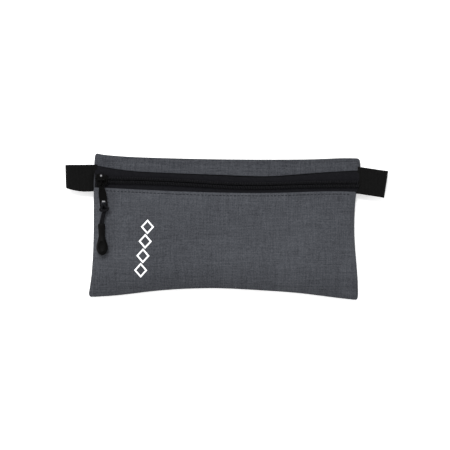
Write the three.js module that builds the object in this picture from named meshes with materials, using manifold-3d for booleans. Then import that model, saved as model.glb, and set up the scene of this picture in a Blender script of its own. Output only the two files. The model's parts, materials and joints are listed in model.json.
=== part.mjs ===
// A zipped cash deposit bag lying flat on its back, in millimetres.
// +X runs along the zip, +Y towards the top edge, +Z out of the front panel, and z = 0 is the rest plane.
import * as THREE from 'three';
import { mergeVertices } from 'three/addons/utils/BufferGeometryUtils.js';
import Module from 'manifold-3d';

const wasm = await Module();
wasm.setup();

// ---- driving dimensions ----
const BAG_HALF_WIDTH = 122.4; // side seam to the middle, at the height of the zip
const BOTTOM_Y = -58; // bottom edge at the middle of the bag
const FRONT_CROWN = 12.4; // highest point of the filled front panel
const CLOTH = 0.8; // woven cloth
const CLEAR = 0.3; // gap between two layers that are sewn together
const BINDING = 0.6; // seam binding inside the bag
const BINDING_WIDTH = 7;
const TOP_FOLD = 2.4; // hem along the top edge, at the middle of the bag
const FOLD_DEPTH = 1.8; // rolled layers of the hem
const SEAM_LIP = BINDING / 2 + CLEAR + CLOTH; // from the middle of a seam to its outer face

const ZIP_Y = 41.5; // straight line that the slider follows
const TAPE = 0.6; // tape thickness
const TAPE_Z = 8.9; // middle of the tape
const TAPE_WIDTH = 14.2; // each half, of a standard 32 mm chain
const TAPE_GAP = 1.8; // tape edge to the line of the zip
const COIL_WIDTH = 2.9;
const COIL_HEIGHT = 2.15;
const COIL_OFFSET = 1.65; // middle of a closed coil to the line of the zip
const MOUTH_Z = TAPE_Z + TAPE / 2 + CLEAR + CLOTH + 0.1; // outer face of the folded edges beside the zip
const HINGE_Y = ZIP_Y + TAPE_GAP + TAPE_WIDTH + 2.7; // the strip lifts about this line
const HINGE_Z = 5.9;
const TOP_Y = HINGE_Y + TOP_FOLD;

const WEBBING = 1.2; // thickness of the webbing
const WEBBING_WIDTH = 25;
const LOOP_LENGTH = 20; // hinge to the middle of the loop's round end
const LOOP_INNER = 3; // radius inside the round end
const LOOP_ROOT = WEBBING + 0.2; // radius of the sewn root
const LOOP_Y = 43.2; // middle of both loops
const LOOP_GAP = CLEAR + 0.4; // from the side seam to the root
const RIGHT_DROOP = THREE.MathUtils.degToRad(-9);

const COIL_Z = TAPE_Z + TAPE / 2 + 0.25; // underside of the coils, just over the tape
const PLATE_GAP = 0.4; // play between the slider's plates and the chain
const PLATE_LOW = TAPE_Z - TAPE / 2 - PLATE_GAP; // top face of the slider's lower plate
const PLATE_HIGH = COIL_Z + COIL_HEIGHT + PLATE_GAP; // bottom face of the upper plate
const PLATE = 0.9;
const SLIDER_HALF_LENGTH = 5.2;
const SLIDER_X = SLIDER_HALF_LENGTH + 2.6 - BAG_HALF_WIDTH; // middle of the slider when the bag is shut
const MOUTH_HALF = -SLIDER_X - SLIDER_HALF_LENGTH - 2.4; // the strip lifts between these two places
const SHOULDER = 5.8; // half width over the diamond
const TAIL = 4.6; // half width where the closed chain leaves
const FLANGE = 0.8;
const BAR_HALF_HEIGHT = 0.6;
const BAR_HALF_WIDTH = 0.8;
const WIRE = 0.5; // radius of the link's wire
const LINK_RADIUS = 1.75;
const LINK_REACH = LINK_RADIUS + WIRE;
const LINK_GAP = 0.25; // link to the upper plate
// middle of the crown's bar: over the front panel and clear of the plate
const BAR_Z = Math.max(FRONT_CROWN + 3, PLATE_HIGH + PLATE + LINK_REACH + LINK_GAP);
const LINK_STRETCH = 3.6;
const TAB = 1.2; // thickness of the pull tab
const TAB_HALF_WIDTH = 3.6;
const TAB_REACH = 19.6; // eye to the bar that holds the cord
const TAB_BAR = 1.4;
const TAB_LEAN = THREE.MathUtils.degToRad(8);
const CORD = 0.8; // radius of the cord
const GRIP_LENGTH = 29.7;
const GRIP_HALF_WIDTH = 5;
const GRIP_FLATNESS = 0.6;

// ---- small maths ----
const { lerp, clamp } = THREE.MathUtils;

// A smooth function through a few [place, value] pairs.
function through(pairs) {
  const slope = (i) => {
    const [before, after] = [pairs[Math.max(i - 1, 0)], pairs[Math.min(i + 1, pairs.length - 1)]];
    return (after[1] - before[1]) / (after[0] - before[0]);
  };
  return (place) => {
    const at = clamp(place, pairs[0][0], pairs.at(-1)[0]);
    const i = clamp(pairs.findIndex((pair) => pair[0] >= at) - 1, 0, pairs.length - 2);
    const length = pairs[i + 1][0] - pairs[i][0];
    const t = (at - pairs[i][0]) / length;
    const start = (1 + 2 * t) * (1 - t) ** 2 * pairs[i][1] + t * (1 - t) ** 2 * length * slope(i);
    const end = t * t * (3 - 2 * t) * pairs[i + 1][1] - t * t * (1 - t) * length * slope(i + 1);
    return start + end;
  };
}

// ---- outline of the bag, seen from the front ----
const W = BAG_HALF_WIDTH;
const topEdge = through([[-W, TOP_Y + 4.4], [-W * 0.93, TOP_Y + 2.6], [-W * 0.66, TOP_Y + 0.9],
  [0, TOP_Y + 0.3], [W * 0.6, TOP_Y + 1.4], [W * 0.85, TOP_Y + 3], [W, TOP_Y + 3.2]]);
const bottomEdge = through([[-W, BOTTOM_Y - 10.3], [-W * 0.8, BOTTOM_Y - 8.4], [-W * 0.45, BOTTOM_Y - 2.6],
  [-W * 0.1, BOTTOM_Y], [W * 0.2, BOTTOM_Y - 0.9], [W * 0.55, BOTTOM_Y - 3.2],
  [W * 0.8, BOTTOM_Y - 6.6], [W, BOTTOM_Y - 9.2]]);
const leftEdge = through([[BOTTOM_Y - 9, -W - 4], [BOTTOM_Y + 10, -W - 1.2], [-15, -W + 0.4],
  [ZIP_Y, -W], [TOP_Y + 3, -W]]);
const rightEdge = through([[BOTTOM_Y - 8, W + 4], [BOTTOM_Y + 10, W + 3.3], [-5, W - 0.9],
  [30, W - 0.2], [53, W + 3.6], [TOP_Y + 2, W + 4]]);
// the two folded edges beside the zip
const STRIP_NEAR = ZIP_Y + SHOULDER + 0.7;
const stripEdge = through([[-W, STRIP_NEAR + 8], [-W * 0.86, STRIP_NEAR + 4.9], [-W * 0.7, STRIP_NEAR + 2.6],
  [0, STRIP_NEAR + 0.4], [W * 0.33, STRIP_NEAR - 0.1], [W * 0.6, STRIP_NEAR + 2.7],
  [W * 0.8, STRIP_NEAR + 4.9], [W, STRIP_NEAR + 6.6]]);
const PANEL_NEAR = ZIP_Y - SHOULDER - 4.2;
const panelEdge = through([[-W, PANEL_NEAR + 2.5], [-W * 0.35, PANEL_NEAR + 0.1], [W * 0.3, PANEL_NEAR],
  [W * 0.8, PANEL_NEAR + 2.4], [W, PANEL_NEAR + 2.3]]);
// height of the middle of the side seams
const BOTTOM_SEAM = 3;
const seamHeight = through([[BOTTOM_Y - 9, BOTTOM_SEAM], [-30, 6], [10, 8], [ZIP_Y - 11.5, TAPE_Z],
  [ZIP_Y, TAPE_Z + 0.1], [ZIP_Y + 8.5, TAPE_Z - 0.5], [TOP_Y + 3, TAPE_Z - 4.1]]);

// ---- outer faces as heights over the rest plane ----
const across = (x, y) => (x - leftEdge(y)) / (rightEdge(y) - leftEdge(y));
const up = (x, y, low, high) => clamp((y - low(x)) / (high(x) - low(x)), 0, 1);
const fromMiddle = (share) => clamp(Math.abs(2 * share - 1), 0, 1);

function frontHeight(x, y) {
  const v = up(x, y, bottomEdge, panelEdge);
  const edge = v < 0.5 ? BOTTOM_SEAM + SEAM_LIP : MOUTH_Z;
  const inside = lerp(FRONT_CROWN, edge, fromMiddle(v) ** (v < 0.5 ? 4 : 3));
  return lerp(inside, seamHeight(y) + SEAM_LIP, fromMiddle(across(x, y)) ** 10);
}

function stripHeight(x, y) {
  const v = up(x, y, stripEdge, () => HINGE_Y);
  const inside = lerp(MOUTH_Z, HINGE_Z + CLOTH / 2, v * v * (3 - 2 * v));
  return lerp(inside, seamHeight(y) + SEAM_LIP, fromMiddle(across(x, y)) ** 10);
}

function backHeight(x, y) {
  const v = up(x, y, bottomEdge, topEdge);
  const low = clamp(1 - v / 0.25, 0, 1) ** 2 * (BOTTOM_SEAM - SEAM_LIP);
  const high = clamp((v - 0.75) / 0.25, 0, 1) ** 2 * (seamHeight(TOP_Y + 3) - SEAM_LIP);
  const side = clamp((fromMiddle(across(x, y)) - 0.7) / 0.3, 0, 1) ** 4;
  return lerp(low + high, seamHeight(y) - SEAM_LIP, side);
}

const tapeHeight = (x, y) => {
  const cover = y > ZIP_Y ? stripHeight(x, y) : frontHeight(x, y);
  return Math.min(TAPE_Z, cover - CLOTH - CLEAR - TAPE / 2) + TAPE / 2;
};

// ---- shape makers ----
// A closed slab over a grid: place(u, v) gives x and y, top(x, y) the height of its upper face.
function slab(columns, rows, place, top, thickness) {
  const positions = [];
  const row = columns + 1;
  const layer = row * (rows + 1);
  for (const drop of [0, thickness]) {
    for (let j = 0; j <= rows; j++) {
      for (let i = 0; i <= columns; i++) {
        const [x, y] = place(i / columns, j / rows);
        positions.push(x, y, top(x, y) - drop);
      }
    }
  }
  const index = [];
  const quad = (a, b, c, d) => index.push(a, b, c, a, c, d);
  for (let j = 0; j < rows; j++) {
    for (let i = 0; i < columns; i++) {
      const a = j * row + i;
      quad(a, a + 1, a + row + 1, a + row);
      quad(layer + a, layer + a + row, layer + a + row + 1, layer + a + 1);
    }
  }
  const wall = (a, b) => quad(b, a, layer + a, layer + b);
  for (let i = 0; i < columns; i++) {
    wall(i, i + 1);
    wall(rows * row + i + 1, rows * row + i);
  }
  for (let j = 0; j < rows; j++) {
    wall((j + 1) * row, j * row);
    wall(j * row + columns, (j + 1) * row + columns);
  }
  const geometry = new THREE.BufferGeometry();
  geometry.setAttribute('position', new THREE.Float32BufferAttribute(positions, 3));
  geometry.setIndex(index);
  return geometry;
}

// Steps from 0 to 1 that crowd towards both ends, where the cloth turns down into the seams.
const crowd = (t) => lerp(t, 0.5 - 0.5 * Math.cos(Math.PI * t), 0.8);

// Cloth between two edges that run along X, from one side seam to the other.
function clothPlace(low, high) {
  return (u, v) => {
    const guess = lerp(-W, W, crowd(u));
    const y = lerp(low(guess), high(guess), crowd(v));
    return [lerp(leftEdge(y), rightEdge(y), crowd(u)), y];
  };
}

// A stretch along X between two places, and between two edges in Y.
function stretchPlace(from, to, low, high) {
  return (u, v) => {
    const x = lerp(from, to, u);
    return [x, lerp(low(x), high(x), v)];
  };
}

function prism(outline, low, high) {
  const options = { depth: high - low, bevelEnabled: false, curveSegments: 8 };
  const geometry = new THREE.ExtrudeGeometry(outline, options);
  return geometry.translate(0, 0, low);
}

// A prism whose outline lies in X and Z, centred on y = 0.
function sidePrism(outline, width) {
  return prism(outline, -width / 2, width / 2).rotateX(Math.PI / 2);
}

function polygon(points) {
  return new THREE.Shape(points.map(([x, y]) => new THREE.Vector2(x, y)));
}

function roundedRectangle(left, right, low, high, radius) {
  const outline = new THREE.Shape();
  outline.moveTo(left + radius, low);
  outline.lineTo(right - radius, low);
  outline.absarc(right - radius, low + radius, radius, -Math.PI / 2, 0);
  outline.absarc(right - radius, high - radius, radius, 0, Math.PI / 2);
  outline.absarc(left + radius, high - radius, radius, Math.PI / 2, Math.PI);
  outline.absarc(left + radius, low + radius, radius, Math.PI, 1.5 * Math.PI);
  return outline;
}

// ---- joining and cutting ----
function solid(geometry) {
  const bare = geometry.clone();
  bare.deleteAttribute('normal');
  bare.deleteAttribute('uv');
  const merged = mergeVertices(bare, 1e-4);
  const corners = [];
  for (let i = 0; i < merged.index.count; i += 3) {
    const [a, b, c] = [0, 1, 2].map((k) => merged.index.getX(i + k));
    if (a !== b && b !== c && c !== a) corners.push(a, b, c);
  }
  const vertProperties = Float32Array.from(merged.attributes.position.array);
  return new wasm.Manifold(new wasm.Mesh({ numProp: 3, vertProperties, triVerts: Uint32Array.from(corners) }));
}

function geometryOf(manifold) {
  const mesh = manifold.getMesh();
  const geometry = new THREE.BufferGeometry();
  geometry.setAttribute('position', new THREE.Float32BufferAttribute(mesh.vertProperties, 3));
  geometry.setIndex(Array.from(mesh.triVerts));
  return geometry;
}

// ---- materials ----
const paint = (color, roughness, metalness = 0) => new THREE.MeshStandardMaterial({ color, roughness, metalness });
const cloth = () => paint(0x4f5257, 0.9);
const tapeCloth = () => paint(0x1b1b1e, 0.85);
const nylon = () => paint(0x17171a, 0.5);
const strap = () => paint(0x151515, 0.8);
const blackMetal = () => paint(0x1c1d20, 0.35, 0.8);

function piece(name, geometry, material) {
  const mesh = new THREE.Mesh(geometry, material);
  mesh.name = name;
  return mesh;
}

// ---- cloth body ----
function clothBody() {
  const hinge = () => HINGE_Y - 0.1;
  const end = MOUTH_HALF + 0.4;
  const foldStart = () => HINGE_Y + CLEAR;
  const backInside = (x, y) => backHeight(x, y) + CLOTH;
  const foldTop = (x, y) => backInside(x, y) + CLEAR + FOLD_DEPTH;
  const strip = stretchPlace(-MOUTH_HALF, MOUTH_HALF, stripEdge, hinge);
  const leftStrip = (u, v) => stretchPlace(leftEdge(58), -end, stripEdge, hinge)(crowd(u), v);
  const rightStrip = (u, v) => stretchPlace(end, rightEdge(50), stripEdge, hinge)(crowd(u), v);
  return [
    piece('back_panel', slab(24, 14, clothPlace(bottomEdge, topEdge), backInside, CLOTH), cloth()),
    piece('front_panel', slab(24, 12, clothPlace(bottomEdge, panelEdge), frontHeight, CLOTH), cloth()),
    piece('top_strip', slab(20, 3, strip, stripHeight, CLOTH), cloth()),
    piece('top_strip_left_end', slab(4, 3, leftStrip, stripHeight, CLOTH), cloth()),
    piece('top_strip_right_end', slab(4, 3, rightStrip, stripHeight, CLOTH), cloth()),
    piece('top_fold', slab(24, 1, clothPlace(foldStart, topEdge), foldTop, FOLD_DEPTH), cloth()),
  ];
}

function seamBindings() {
  const seam = (x, y) => seamHeight(y) + BINDING / 2;
  const sideTop = ZIP_Y - TAPE_GAP - TAPE_WIDTH - 1;
  const side = (edge, direction) => (u, v) => {
    const y = lerp(BOTTOM_Y - 3, sideTop, v);
    return [edge(y) + direction * lerp(0.8, 0.8 + BINDING_WIDTH, direction > 0 ? u : 1 - u), y];
  };
  const lowEdge = (x) => bottomEdge(x) + 0.8;
  const highEdge = (x) => bottomEdge(x) + 0.8 + BINDING_WIDTH;
  const bottom = stretchPlace(10 - W, W - 9, lowEdge, highEdge);
  return [
    piece('left_seam_binding', slab(1, 10, side(leftEdge, 1), seam, BINDING), tapeCloth()),
    piece('right_seam_binding', slab(1, 10, side(rightEdge, -1), seam, BINDING), tapeCloth()),
    piece('bottom_seam_binding', slab(16, 1, bottom, () => BOTTOM_SEAM + BINDING / 2, BINDING), tapeCloth()),
  ];
}

// ---- zip ----
// How far the middle of a coil stands from the line of the zip: it parts round the slider's diamond.
function coilOffset(x) {
  const t = clamp((SLIDER_X + 2 - x) / 4.5, 0, 1);
  return COIL_OFFSET + 1.55 * t * t * (3 - 2 * t);
}

function tape(name, from, to, side) {
  const near = () => ZIP_Y + side * TAPE_GAP;
  const far = () => ZIP_Y + side * (TAPE_GAP + TAPE_WIDTH);
  const place = side > 0 ? stretchPlace(from, to, near, far) : stretchPlace(from, to, far, near);
  const columns = Math.max(3, Math.round((to - from) / 12));
  return piece(name, slab(columns, 4, place, tapeHeight, TAPE), tapeCloth());
}

function coil(name, from, to, side) {
  const inner = (x) => ZIP_Y + side * (coilOffset(x) - COIL_WIDTH / 2);
  const outer = (x) => ZIP_Y + side * (coilOffset(x) + COIL_WIDTH / 2);
  const place = side > 0 ? stretchPlace(from, to, inner, outer) : stretchPlace(from, to, outer, inner);
  const top = () => COIL_Z + COIL_HEIGHT;
  const bends = from < -MOUTH_HALF; // this length runs past the slider, where the coils part
  const spread = bends ? (u, v) => place(u ** 3, v) : place;
  return piece(name, slab(bends ? 28 : 6, 1, spread, top, COIL_HEIGHT), nylon());
}

function zipChain() {
  const end = W - 1;
  const flap = MOUTH_HALF - 0.2;
  const fixed = MOUTH_HALF + 0.2;
  return [
    tape('lower_zipper_tape', -end, end, -1),
    tape('upper_zipper_tape', -flap, flap, 1),
    tape('upper_tape_left_end', -end, -fixed, 1),
    tape('upper_tape_right_end', fixed, end, 1),
    coil('lower_zipper_coil', -end, end, -1),
    coil('upper_zipper_coil', -flap, flap, 1),
    coil('upper_coil_left_end', -end, -fixed, 1),
    coil('upper_coil_right_end', fixed, end, 1),
  ];
}

// ---- slider ----
function sliderOutline(inset, overrun) {
  const end = SLIDER_HALF_LENGTH + overrun;
  const shoulder = SHOULDER - inset;
  const tail = TAIL - inset;
  const corner = overrun > 0 ? 0 : 1.4;
  const front = [[-end, shoulder - corner], [corner - end, shoulder], [-0.5, shoulder]];
  const half = [...front, [1.5, tail], [end, tail]];
  const mirrored = half.map(([x, y]) => [x, -y]).reverse();
  return polygon([...mirrored, ...half].reverse());
}

function sliderBody() {
  const flangeLow = TAPE_Z + TAPE / 2 + CLEAR;
  const lower = solid(prism(sliderOutline(0, 0), PLATE_LOW - PLATE, PLATE_LOW));
  const cover = solid(prism(sliderOutline(0, 0), flangeLow, PLATE_HIGH + PLATE));
  const channel = solid(prism(sliderOutline(FLANGE, 2), flangeLow - 1, PLATE_HIGH));
  const diamond = polygon([[-4.7, 0], [-3.4, -1.3], [-0.6, 0], [-3.4, 1.3]]);
  const post = solid(prism(diamond, PLATE_LOW - 0.2, PLATE_HIGH + 0.2));
  return geometryOf(lower.add(cover.subtract(channel)).add(post));
}

function sliderCrown() {
  const low = PLATE_HIGH + PLATE + CLEAR;
  const high = BAR_Z + BAR_HALF_HEIGHT;
  const under = BAR_Z - BAR_HALF_HEIGHT;
  const arch = polygon([[-3.8, low], [-2.3, low], [-2.3, under], [2.3, under], [2.3, low], [3.8, low],
    [3.8, high - 0.9], [2.9, high], [-2.9, high], [-3.8, high - 0.9]]);
  return sidePrism(arch, 2 * BAR_HALF_WIDTH);
}

// An oval wire link standing in Y and Z, round the crown's bar at its origin.
function linkGeometry() {
  const ring = new THREE.TorusGeometry(LINK_RADIUS, WIRE, 8, 20).rotateY(Math.PI / 2);
  const position = ring.attributes.position;
  for (let i = 0; i < position.count; i++) {
    if (position.getY(i) < -0.01) position.setY(i, position.getY(i) - LINK_STRETCH);
  }
  return ring;
}

// The flat tab, with its eye at the origin, lying towards -Y.
function tabGeometry() {
  const end = -TAB_REACH - TAB_BAR / 2;
  const plate = new THREE.Shape();
  plate.moveTo(-TAB_HALF_WIDTH, end + 1.2);
  plate.absarc(1.2 - TAB_HALF_WIDTH, end + 1.2, 1.2, Math.PI, 1.5 * Math.PI);
  plate.absarc(TAB_HALF_WIDTH - 1.2, end + 1.2, 1.2, 1.5 * Math.PI, 2 * Math.PI);
  plate.lineTo(TAB_HALF_WIDTH, -9);
  plate.bezierCurveTo(TAB_HALF_WIDTH, -5, 2.45, -4, 2.45, 0);
  plate.absarc(0, 0, 2.45, 0, Math.PI);
  plate.bezierCurveTo(-2.45, -4, -TAB_HALF_WIDTH, -5, -TAB_HALF_WIDTH, -9);
  const eye = new THREE.Path().absarc(0, 0, 1.2, 0, 2 * Math.PI);
  const window = roundedRectangle(-2.6, 2.6, end + TAB_BAR, end + TAB_BAR + 3.4, 0.8);
  plate.holes.push(eye, window);
  const body = solid(prism(plate, -TAB / 2, TAB / 2));
  const recess = solid(prism(roundedRectangle(-1.9, 1.9, -13.4, -4.4, 1.6), TAB / 2 - 0.3, TAB));
  return geometryOf(body.subtract(recess));
}

// ---- cord and grip, round the bar of the tab at the origin ----
// One side of the cow hitch: from the grip, behind the bar, through the window and over the front.
const HITCH_SIDE = [
  [-3.95, -18.4, 0.2], [-3.5, -15.2, 0.2], [-0.7, -7.4, 0.1], [0.9, -4.2, -0.1], [1, -2, -0.9], [1.1, -0.4, -1.85],
  [1.3, 0.7, -1.85], [1.3, 1.95, -0.2], [1.35, 1.4, 1.45], [1.6, -0.1, 2.1], [3, -1.4, 2.1], [3.7, -2.8, 2],
  [2.2, -3.9, 2], [0, -4.1, 2.1],
];
const GRIP_PLACE = [-4.8, -15.4, 0.2];
const GRIP_TURN = THREE.MathUtils.degToRad(-7.2);

function cordGeometry() {
  const route = HITCH_SIDE.map(([x, y, z]) => new THREE.Vector3(x, y, z));
  // the other strand mirrors the hitch, then runs beside the first one
  const beside = (x, y) => (y < -7 ? x - 1.75 : y < -4.15 ? lerp(-x, x - 1.75, 0.75) : -x);
  const back = HITCH_SIDE.slice(0, -1).reverse().map(([x, y, z]) => new THREE.Vector3(beside(x, y), y, z));
  const path = new THREE.CatmullRomCurve3([...route, ...back], false, 'centripetal');
  const section = new THREE.Shape().absarc(0, 0, CORD, 0, 2 * Math.PI);
  return new THREE.ExtrudeGeometry(section, { steps: 72, extrudePath: path, curveSegments: 4, bevelEnabled: false });
}

// The moulded grip hangs towards -Y from the end that takes the cord.
function gripGeometry() {
  const profile = through([[0, 2.7], [1.2, 3.3], [GRIP_LENGTH * 0.42, 2.8], [GRIP_LENGTH * 0.73, GRIP_HALF_WIDTH],
    [GRIP_LENGTH * 0.93, 3.4], [GRIP_LENGTH, 0.8]]);
  const points = [new THREE.Vector2(0, -GRIP_LENGTH)];
  const steps = 14;
  for (let i = 0; i <= steps; i++) {
    const along = GRIP_LENGTH * (1 - i / steps);
    points.push(new THREE.Vector2(profile(along), -along));
  }
  points.push(new THREE.Vector2(0, 0));
  const body = solid(new THREE.LatheGeometry(points, 18).scale(1, 1, GRIP_FLATNESS));
  const socket = roundedRectangle(-2.1, 2.1, -1.15, 1.15, 1.1);
  const bore = solid(prism(socket, -1, 4).rotateX(Math.PI / 2));
  const thumb = new THREE.SphereGeometry(1, 16, 10).scale(2.9, 4.4, 1.1);
  const recess = solid(thumb.translate(0, -GRIP_LENGTH * 0.7, GRIP_HALF_WIDTH * GRIP_FLATNESS + 0.2));
  return geometryOf(body.subtract(bore).subtract(recess));
}

function sliderAssembly() {
  const slider = new THREE.Group();
  slider.position.set(SLIDER_X, ZIP_Y, 0);
  slider.add(piece('slider_body', sliderBody(), blackMetal()));
  slider.add(piece('slider_crown', sliderCrown(), blackMetal()));
  const link = piece('pull_link', linkGeometry(), blackMetal());
  link.position.z = BAR_Z;
  slider.add(link);
  const pull = new THREE.Group();
  pull.position.set(0, -LINK_STRETCH - LINK_RADIUS, BAR_Z);
  pull.rotation.z = TAB_LEAN;
  pull.add(piece('pull_tab', tabGeometry(), blackMetal()));
  const cord = new THREE.Group();
  cord.position.y = -TAB_REACH;
  cord.add(piece('pull_cord', cordGeometry(), paint(0x121214, 0.7)));
  const grip = piece('cord_grip', gripGeometry(), paint(0x1d1d1f, 0.55));
  grip.position.set(...GRIP_PLACE);
  grip.rotation.z = GRIP_TURN;
  cord.add(grip);
  pull.add(cord);
  slider.add(pull);
  return slider;
}

// ---- webbing loops ----
// A folded strap: two layers sewn flat at the root, opening into a round end.
function loopGeometry() {
  const outer = LOOP_INNER + WEBBING;
  const sewn = 6;
  const fold = new THREE.Shape();
  fold.moveTo(0, -LOOP_ROOT);
  fold.lineTo(sewn, -LOOP_ROOT);
  fold.bezierCurveTo(sewn + 6, -LOOP_ROOT, LOOP_LENGTH - 5, -outer, LOOP_LENGTH, -outer);
  fold.absarc(LOOP_LENGTH, 0, outer, -Math.PI / 2, Math.PI / 2);
  fold.bezierCurveTo(LOOP_LENGTH - 5, outer, sewn + 6, LOOP_ROOT, sewn, LOOP_ROOT);
  fold.lineTo(0, LOOP_ROOT);
  fold.absarc(0, 0, LOOP_ROOT, Math.PI / 2, 1.5 * Math.PI);
  const space = new THREE.Path();
  space.moveTo(sewn + 3, 0);
  space.bezierCurveTo(sewn + 6, -0.4, LOOP_LENGTH - 5, -LOOP_INNER, LOOP_LENGTH, -LOOP_INNER);
  space.absarc(LOOP_LENGTH, 0, LOOP_INNER, -Math.PI / 2, Math.PI / 2);
  space.bezierCurveTo(LOOP_LENGTH - 5, LOOP_INNER, sewn + 6, 0.4, sewn + 3, 0);
  fold.holes.push(space);
  return sidePrism(fold, WEBBING_WIDTH);
}

function webbingLoop(name, edge, turn) {
  const loop = piece(name, loopGeometry(), strap());
  const away = Math.cos(turn) > 0 ? 1 : -1;
  loop.position.set(edge(LOOP_Y) + away * (LOOP_ROOT + LOOP_GAP), LOOP_Y, seamHeight(LOOP_Y));
  loop.rotation.z = turn;
  return loop;
}

const bag = new THREE.Group();
bag.add(...clothBody(), ...seamBindings(), ...zipChain(), sliderAssembly());
bag.add(webbingLoop('left_webbing_loop', leftEdge, Math.PI));
bag.add(webbingLoop('right_webbing_loop', rightEdge, RIGHT_DROOP));

export default bag;
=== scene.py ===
# %% [markdown]
# A zipped cash deposit bag lies flat on its back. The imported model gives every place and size, and this
# script dresses it: woven cloth that bulges and puckers, a nylon coil zip, a black slider with a corded
# pull, and two folded webbing loops.
# %% Load the frame
import json
from math import cos, exp, pi, radians, sin, sqrt
import bmesh
import bpy
from mathutils import Matrix, Vector, noise
from mathutils.bvhtree import BVHTree
from mathutils.kdtree import KDTree


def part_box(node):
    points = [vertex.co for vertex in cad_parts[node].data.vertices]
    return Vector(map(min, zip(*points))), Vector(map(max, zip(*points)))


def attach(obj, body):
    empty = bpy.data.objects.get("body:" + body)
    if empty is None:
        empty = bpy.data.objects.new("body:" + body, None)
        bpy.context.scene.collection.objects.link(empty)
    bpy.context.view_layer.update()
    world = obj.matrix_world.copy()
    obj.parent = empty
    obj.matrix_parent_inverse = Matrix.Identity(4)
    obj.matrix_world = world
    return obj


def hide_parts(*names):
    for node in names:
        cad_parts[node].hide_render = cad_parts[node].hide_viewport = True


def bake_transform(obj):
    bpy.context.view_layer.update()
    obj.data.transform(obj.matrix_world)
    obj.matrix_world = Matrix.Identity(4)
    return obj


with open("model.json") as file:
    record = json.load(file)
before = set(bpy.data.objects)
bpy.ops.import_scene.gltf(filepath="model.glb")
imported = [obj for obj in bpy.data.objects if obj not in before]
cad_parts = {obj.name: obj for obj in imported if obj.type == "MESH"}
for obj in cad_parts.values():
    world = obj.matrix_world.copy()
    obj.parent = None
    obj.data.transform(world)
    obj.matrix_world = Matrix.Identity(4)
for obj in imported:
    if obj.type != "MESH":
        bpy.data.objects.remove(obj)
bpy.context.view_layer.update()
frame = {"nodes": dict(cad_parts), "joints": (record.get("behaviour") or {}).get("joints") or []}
MM = 0.001
joints = {joint["name"]: joint for joint in frame["joints"]}
print("joints:", sorted(joints))

# %% [markdown]
# The camera comes first. It looks straight down with a long lens, so the bag shows its front with almost
# no perspective. The frame is 423 mm wide at the bag, and a small roll keeps the zip a little off level.
# %% Camera
FRAME_WIDTH = 423 * MM
camera_data = bpy.data.cameras.new("camera")
camera_data.lens = 100
camera_data.sensor_width = 36
camera = bpy.data.objects.new("camera", camera_data)
camera.location = (0.63 * MM, 1.37 * MM, FRAME_WIDTH * camera_data.lens / camera_data.sensor_width)
camera.rotation_euler = (0, 0, radians(0.92))
bpy.context.scene.collection.objects.link(camera)
bpy.context.scene.camera = camera
print("camera height:", round(camera.location.z, 3))

# %% [markdown]
# Light is plain and soft: one broad lamp overhead and two dimmer ones from the sides, on a nearly white
# floor. The floor is a stage piece, so it isn't part of the bag. The Standard view keeps colours as set.
# %% Floor and light
def area_light(name, place, size, power):
    data = bpy.data.lights.new(name, "AREA")
    data.shape = "DISK"
    data.size = size
    data.energy = power
    lamp = bpy.data.objects.new(name, data)
    lamp.location = place
    lamp.rotation_euler = (-Vector(place)).to_track_quat("-Z", "Y").to_euler()
    bpy.context.scene.collection.objects.link(lamp)


def floor():
    bm = bmesh.new()
    bmesh.ops.create_grid(bm, x_segments=1, y_segments=1, size=3)
    mesh = bpy.data.meshes.new("floor")
    bm.to_mesh(mesh)
    plane = bpy.data.objects.new("floor", mesh)
    plane.location.z = -0.2 * MM
    bpy.context.scene.collection.objects.link(plane)
    material = bpy.data.materials.new("floor")
    material.use_nodes = True
    shader = material.node_tree.nodes["Principled BSDF"]
    shader.inputs["Base Color"].default_value = (0.93, 0.93, 0.93, 1)
    shader.inputs["Roughness"].default_value = 0.9
    shader.inputs["Emission Color"].default_value = (1, 1, 1, 1)
    shader.inputs["Emission Strength"].default_value = 0.35
    mesh.materials.append(material)


floor()
area_light("overhead", (-0.35, 1.0, 1.45), 0.9, 36)
area_light("left fill", (-1.2, -0.3, 0.7), 0.8, 7)
area_light("right fill", (1.2, -0.4, 0.8), 0.8, 6)
world = bpy.context.scene.world or bpy.data.worlds.new("world")
bpy.context.scene.world = world
world.use_nodes = True
world.node_tree.nodes["Background"].inputs[0].default_value = (1, 1, 1, 1)
world.node_tree.nodes["Background"].inputs[1].default_value = 0.55
bpy.context.scene.view_settings.view_transform = "Standard"

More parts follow.
